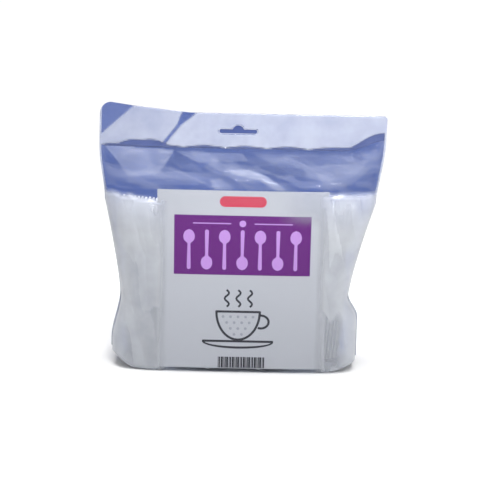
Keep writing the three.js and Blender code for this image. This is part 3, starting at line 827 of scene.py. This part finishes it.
def print_piece(name, bands, material, layer=1):
    """Printed shapes on the card: thin closed plates, each between two lines of points in front view."""
    vertices, faces = [], []
    for one, other in bands:
        outline = one + other[::-1]
        pairs = zip(outline, outline[1:] + outline[:1])
        turn = sum(x0 * z1 - x1 * z0 for (x0, z0), (x1, z1) in pairs)
        lines = (one, other) if turn > 0 else (other, one)
        count, first = len(one), len(vertices)
        for level in (layer, layer - 1):
            for line in lines:
                vertices += [Vector((x, card_face(x) - INK * level, z)) * MM for x, z in line]
        a, b, c, d = (first + k * count for k in range(4))
        for i in range(count - 1):
            j = i + 1
            faces += [(a + i, a + j, b + j, b + i), (c + i, d + i, d + j, c + j)]
            faces += [(a + j, a + i, c + i, c + j), (b + i, b + j, d + j, d + i)]
        end = count - 1
        faces += [(a, b, d, c), (b + end, a + end, c + end, d + end)]
    return new_piece(name, vertices, faces, material)


def bar(x0, z0, x1, z1, steps=1):
    xs = [mix(x0, x1, i / steps) for i in range(steps + 1)]
    return [(x, z0) for x in xs], [(x, z1) for x in xs]


def rounded_bar(x, z, length, height, steps=10):
    """Band of a bar with round ends; one as long as it is high is a disc."""
    radius = height / 2
    reach = length / 2 - radius
    turn = [math.pi / 2 * (i + TIP_START) / (steps + TIP_START) for i in range(steps + 1)]
    right = [(reach + radius * math.cos(a), radius * math.sin(a)) for a in turn]
    middle = [(reach * (2 * k / steps - 1), radius) for k in range(1, steps)]
    ends = right + [(-run, half) for run, half in right]
    profile = sorted({(round(run, 4), round(half, 4)) for run, half in ends + middle})
    return [(x + run, z - half) for run, half in profile], [(x + run, z + half) for run, half in profile]


def arc_band(x, z, rx, rz, width, a0, a1, steps=40):
    """Band along part of an ellipse."""
    angles = [mix(a0, a1, i / steps) for i in range(steps + 1)]

    def line(grow):
        return [(x + (rx + grow) * math.cos(a), z + (rz + grow) * math.sin(a)) for a in angles]

    return line(width / 2), line(-width / 2)


def line_band(points, width):
    """Band of even width along a line of points."""
    left, right = [], []
    for i, p in enumerate(points):
        before = Vector(points[max(0, i - 1)])
        after = Vector(points[min(len(points) - 1, i + 1)])
        along = (after - before).normalized()
        side = Vector((-along.y, along.x)) * width / 2
        left.append(tuple(Vector(p) + side))
        right.append(tuple(Vector(p) - side))
    return left, right


def spoon_band(x, z, length, up):
    """Flat teaspoon for the print, standing at a place with its bowl up or down."""
    scale = length / SPOON_LENGTH
    turn = 1 if up else -1
    left, right = [], []
    for i in range(ICON_STEPS + 1):
        s = SPOON_LENGTH * i / ICON_STEPS
        half = ICON_BROADENING * spoon_half_width(s) * scale
        level = z + turn * (s - SPOON_LENGTH / 2) * scale
        left.append((x - half, level))
        right.append((x + half, level))
    return left, right


def field_bands():
    """Marks on the purple field: two rules with a disc between them, over a row of teaspoons."""
    bands = []
    for start in RULE_STARTS:
        x = PRINT_X + start
        bands.append(bar(x, RULE_LEVEL - RULE_HALF, x + RULE_LENGTH, RULE_LEVEL + RULE_HALF, RULE_STEPS))
    bands.append(rounded_bar(PRINT_X, RULE_LEVEL, DISC, DISC))
    for i in range(ICON_COUNT):
        x = PRINT_X + ICON_PITCH * (i - ICON_COUNT // 2)
        bands.append(spoon_band(x, ICON_LEVEL, ICON_LENGTH, i % 2 == 0))
    return bands


def cup_bands():
    """Line drawing of a steaming cup on its saucer."""
    saucer, rim = CUP_TOP - SAUCER_DROP, CUP_TOP - SAUCER_RIM_DROP
    ear_x, ear_z = CUP_X + CUP_HALF + CUP_LINE / 2, CUP_TOP - EAR_DROP
    bands = [
        arc_band(CUP_X, CUP_TOP, CUP_HALF, CUP_DEPTH, CUP_LINE, math.pi, 2 * math.pi),
        rounded_bar(CUP_X, CUP_TOP, 2 * CUP_HALF + CUP_LINE, CUP_LINE),
        arc_band(ear_x, ear_z, EAR_WIDTH, EAR_HEIGHT, CUP_LINE, EAR_START, EAR_END),
        arc_band(CUP_X, saucer, SAUCER_HALF, SAUCER_DEPTH, CUP_LINE, math.pi, 2 * math.pi),
        rounded_bar(CUP_X, rim, 2 * SAUCER_HALF + CUP_LINE, CUP_LINE),
    ]
    for k in range(STEAM_COUNT):
        x, z = CUP_X + STEAM_PITCH * (k - STEAM_COUNT // 2), CUP_TOP + STEAM_GAP
        heights = range(STEAM_HEIGHT + 1)
        steam = [(x + STEAM_SWING * math.sin(STEAM_TURN * t), z + t) for t in heights]
        bands.append(line_band(steam, STEAM_LINE))
    return bands


def dot_bands():
    """Dots on the cup, in rows that are set off by half a pitch and narrow with the cup."""
    bands = []
    for row, half_count in enumerate(DOT_ROWS):
        z = CUP_TOP - DOT_DROP - row * DOT_ROW_PITCH
        for k in range(-half_count, half_count + 1):
            shift = k * DOT_PITCH + (DOT_PITCH / 2 if row % 2 else 0.0)
            if abs(shift) < DOT_REACH - row * DOT_REACH_LOSS:
                bands.append(rounded_bar(CUP_X + shift, z, DOT, DOT, DOT_STEPS))
    return bands


def bars_bands():
    """Plain upright bars of three widths at the foot of the card, which encode nothing."""
    bands = []
    x = BARS_START
    for k in range(BARS_COUNT):
        wide = BAR_UNIT * (1 + (k * 7) % 3)
        bands.append(bar(x, BARS_LOW, x + wide, BARS_HIGH))
        x += wide + BAR_GAP * (1 + (k * 5) % 2)
    return bands


# Materials

def new_material(name):
    material = bpy.data.materials.new(name)
    material.use_nodes = True
    nodes = material.node_tree.nodes
    nodes.clear()
    return material, nodes, material.node_tree.links


def add(nodes, kind, sockets=None, **settings):
    """New shader node with constants on its sockets and its own settings."""
    node = nodes.new(kind)
    for key, value in settings.items():
        setattr(node, key, value)
    for key, value in (sockets or {}).items():
        node.inputs[key].default_value = value
    return node


def film_material(name, tint, colour, lower_colour):
    """Thin glossy film: tinted and see-through, with a milky share set for each place on the sheet, which
    also holds painted highlights and painted shade.
    """
    material, nodes, links = new_material(name)
    out = add(nodes, "ShaderNodeOutputMaterial")
    place = add(nodes, "ShaderNodeTexCoord")
    cloud = add(nodes, "ShaderNodeTexNoise", {"Scale": 55.0, "Detail": 3.0})
    links.new(place.outputs["Object"], cloud.inputs["Vector"])
    # The attribute holds real milkiness together with painted light and shade
    milk = add(nodes, "ShaderNodeAttribute", attribute_name="film_milk_and_light")
    cloudiness = {"From Min": 0.3, "From Max": 0.7, "To Min": 0.85, "To Max": 1.15}
    vary = add(nodes, "ShaderNodeMapRange", cloudiness)
    links.new(cloud.outputs["Fac"], vary.inputs["Value"])
    share = add(nodes, "ShaderNodeMath", operation="MULTIPLY", use_clamp=True)
    links.new(milk.outputs["Fac"], share.inputs[0])
    links.new(vary.outputs[0], share.inputs[1])
    clear = add(nodes, "ShaderNodeBsdfTransparent", {"Color": (*tint, 1)})
    finish = {"Roughness": 0.3, "IOR": 1.5, "Coat Weight": 0.3, "Coat Roughness": 0.05}
    gloss = add(nodes, "ShaderNodeBsdfPrincipled", finish)
    split = add(nodes, "ShaderNodeSeparateXYZ")
    links.new(place.outputs["Object"], split.inputs[0])
    blend = {"From Min": TONE_LOW * MM, "From Max": TONE_HIGH * MM}
    level = add(nodes, "ShaderNodeMapRange", blend)
    links.new(split.outputs["Z"], level.inputs["Value"])
    colours = {"Color1": (*lower_colour, 1), "Color2": (*colour, 1)}
    tone = add(nodes, "ShaderNodeMixRGB", colours, blend_type="MIX")
    links.new(level.outputs[0], tone.inputs["Fac"])
    links.new(tone.outputs[0], gloss.inputs["Base Color"])
    body = add(nodes, "ShaderNodeMixShader")
    links.new(share.outputs[0], body.inputs["Fac"])
    links.new(clear.outputs[0], body.inputs[1])
    links.new(gloss.outputs[0], body.inputs[2])
    links.new(body.outputs[0], out.inputs["Surface"])
    return material


def solid_material(name, colour, roughness, grain, grain_scale, bump, specular=0.5):
    """Even colour with fine grain: colour variation, roughness variation and a slight bump."""
    material, nodes, links = new_material(name)
    out = add(nodes, "ShaderNodeOutputMaterial")
    base = add(nodes, "ShaderNodeBsdfPrincipled", {"Specular IOR Level": specular})
    place = add(nodes, "ShaderNodeTexCoord")
    speck = add(nodes, "ShaderNodeTexNoise", {"Scale": grain_scale, "Detail": 4.0})
    links.new(place.outputs["Object"], speck.inputs["Vector"])
    darker = (*[c * (1 - grain) for c in colour], 1)
    lighter = (*[min(1.0, c * (1 + grain)) for c in colour], 1)
    tone = add(nodes, "ShaderNodeMixRGB", {"Color1": darker, "Color2": lighter}, blend_type="MIX")
    links.new(speck.outputs["Fac"], tone.inputs["Fac"])
    links.new(tone.outputs[0], base.inputs["Base Color"])
    limits = {"To Min": roughness * 0.85, "To Max": roughness * 1.15}
    rough = add(nodes, "ShaderNodeMapRange", limits)
    links.new(speck.outputs["Fac"], rough.inputs["Value"])
    links.new(rough.outputs[0], base.inputs["Roughness"])
    if bump:
        relief = add(nodes, "ShaderNodeBump", {"Strength": bump, "Distance": 0.1 * MM})
        links.new(speck.outputs["Fac"], relief.inputs["Height"])
        links.new(relief.outputs[0], base.inputs["Normal"])
    links.new(base.outputs[0], out.inputs["Surface"])
    return material


def ink(name, colour, grain):
    return solid_material(name, colour, roughness=0.6, grain=grain, grain_scale=700, bump=0.1, specular=0.2)


CLEAR_FILM = film_material("clear_film", (0.97, 0.98, 1.0), (0.48, 0.51, 0.62), (0.52, 0.54, 0.58))
BLUE_FILM = film_material("blue_film", (0.31, 0.4, 0.68), (0.055, 0.082, 0.24), (0.055, 0.082, 0.24))
SPOON_PLASTIC = solid_material(
    "spoon_plastic", (0.86, 0.86, 0.86), roughness=0.3, grain=0.03, grain_scale=300, bump=0.1
)
CARD_WHITE = solid_material(
    "card_white", (0.43, 0.43, 0.44), roughness=0.6, grain=0.03, grain_scale=900, bump=0.15, specular=0.2
)
INK_PURPLE = ink("ink_purple", (0.11, 0.012, 0.145), 0.06)
INK_LILAC = ink("ink_lilac", (0.45, 0.24, 0.55), 0.05)
INK_DARK = ink("ink_dark", (0.03, 0.03, 0.035), 0.1)
INK_GREY = ink("ink_grey", (0.3, 0.3, 0.32), 0.06)
INK_RED = ink("ink_red", (0.5, 0.03, 0.06), 0.06)
FLOOR_PALE = solid_material(
    "floor_pale", (0.86, 0.86, 0.86), roughness=0.8, grain=0.01, grain_scale=40, bump=0.0
)

# Pieces

film_piece("front_film_skin", -1, FRONT_FOLDS, CLEAR_FILM, "front_film")
film_piece("back_film_skin", 1, BACK_FOLDS, BLUE_FILM, "back_film")
slot_flap(BLUE_FILM)
card_piece(CARD_WHITE)
for number, place in enumerate(COLUMNS, 1):
    spoon_column(number, place, SPOON_PLASTIC)

# Print: a plain bar, a purple field with a row of teaspoons, a dotted cup and saucer, and plain bars
purple_field = bar(PRINT_X - FIELD_HALF, FIELD_LOW, PRINT_X + FIELD_HALF, FIELD_HIGH, FIELD_STEPS)
print_piece("print_bar", [rounded_bar(PRINT_X, LABEL_LEVEL, LABEL_LENGTH, LABEL_HEIGHT)], INK_RED)
print_piece("print_field", [purple_field], INK_PURPLE)
print_piece("print_spoons", field_bands(), INK_LILAC, 2)
print_piece("print_cup", cup_bands(), INK_DARK)
print_piece("print_dots", dot_bands(), INK_GREY)
print_piece("print_bars", bars_bands(), INK_DARK)

# Floor, light and camera, in metres

FLOOR_HALF = 20.0
floor_corners = [(a * FLOOR_HALF, b * FLOOR_HALF, 0) for a, b in ((-1, -1), (1, -1), (1, 1), (-1, 1))]
floor_mesh = bpy.data.meshes.new("floor")
floor_mesh.from_pydata(floor_corners, [], [(0, 1, 2, 3)])
floor = bpy.data.objects.new("floor", floor_mesh)
bpy.context.collection.objects.link(floor)
floor_mesh.materials.append(FLOOR_PALE)


def area_light(name, place, target, size, power, spread):
    light = bpy.data.lights.new(name, "AREA")
    light.shape = "RECTANGLE"
    light.size, light.size_y = size
    light.energy = power
    light.spread = spread
    lamp = bpy.data.objects.new(name, light)
    bpy.context.collection.objects.link(lamp)
    lamp.location = place
    lamp.rotation_euler = (Vector(target) - Vector(place)).to_track_quat("-Z", "Y").to_euler()


def sun_light(name, direction, strength, softness):
    light = bpy.data.lights.new(name, "SUN")
    light.energy = strength
    light.angle = softness
    lamp = bpy.data.objects.new(name, light)
    bpy.context.collection.objects.link(lamp)
    lamp.rotation_euler = Vector(direction).to_track_quat("-Z", "Y").to_euler()


area_light(
    "right_fill", place=(0.5, -0.45, 0.2), target=(0.06, 0, 0.06), size=(0.3, 0.3), power=0.8, spread=math.pi
)
area_light(
    "overhead",
    place=(0.12, -0.42, 0.55),
    target=(0.02, 0, 0.17),
    size=(0.3, 0.15),
    power=0.24,
    spread=math.radians(30),
)
sun_light("top_fill", direction=(0.0, 0.05, -1), strength=2.8, softness=math.radians(40))
world = bpy.data.worlds.new("studio")
bpy.context.scene.world = world
world.use_nodes = True
background = world.node_tree.nodes["Background"]
background.inputs["Color"].default_value = (1.0, 1.0, 1.0, 1)
background.inputs["Strength"].default_value = 0.36
bpy.context.scene.view_settings.view_transform = "Standard"

# Camera: distance, height angle and roll from the photo's view
VIEW_DISTANCE = 0.9
VIEW_ELEVATION = math.radians(12)
VIEW_ROLL = math.radians(1.2)
VIEW_TARGET = Vector((0.8, -28.0, 93.8)) * MM
VIEW_WIDTH = 330 * MM
camera_data = bpy.data.cameras.new("camera")
camera = bpy.data.objects.new("camera", camera_data)
bpy.context.collection.objects.link(camera)
camera_data.lens = camera_data.sensor_width * VIEW_DISTANCE / VIEW_WIDTH
view_back = Vector((0, -math.cos(VIEW_ELEVATION), math.sin(VIEW_ELEVATION)))
camera.location = VIEW_TARGET + VIEW_DISTANCE * view_back
look = (VIEW_TARGET - camera.location).to_track_quat("-Z", "Y").to_matrix()
camera.rotation_euler = (look @ Matrix.Rotation(VIEW_ROLL, 3, "Z")).to_euler()
bpy.context.scene.camera = camera
